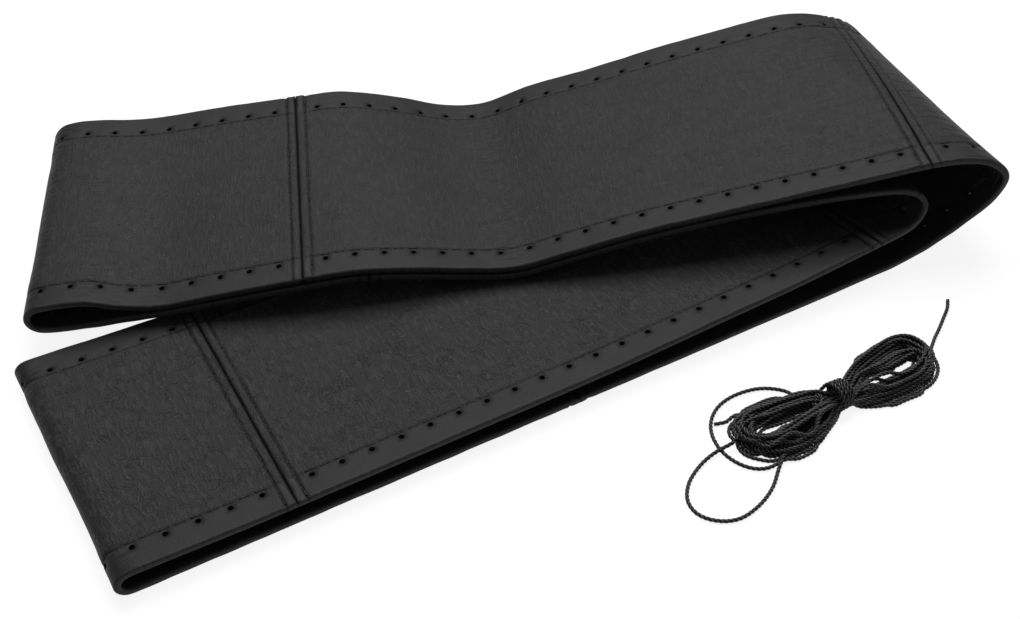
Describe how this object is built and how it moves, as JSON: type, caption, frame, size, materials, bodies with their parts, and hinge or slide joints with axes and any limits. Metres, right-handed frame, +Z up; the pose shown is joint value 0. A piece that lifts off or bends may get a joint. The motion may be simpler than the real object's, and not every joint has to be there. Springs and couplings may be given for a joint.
{
  "type": "steering wheel cover",
  "caption": "Lace-on leather steering wheel cover: a sewn ring of flat panels with lacing holes along both hems, laid down folded, with its hank of lacing thread.",
  "frame": {"origin": "on the surface that the cover lies on, under the middle of the cover's box, the thread left out", "axes": "+X along the cover's longer side as it lies, towards its two bends, +Z up"},
  "size_m": [0.3132, 0.2272, 0.036],
  "materials": {
    "leather": "fine grained, low sheen",
    "thread": "twisted cord, low sheen"
  },
  "bodies": {
    "root": {"panel_1": "leather", "panel_2": "leather", "panel_3": "leather", "panel_4": "leather", "panel_5": "leather", "panel_6": "leather", "thread_hank": "thread", "thread_outer_loop": "thread", "thread_open_loop": "thread", "thread_tail": "thread"}
  },
  "joints": []
}
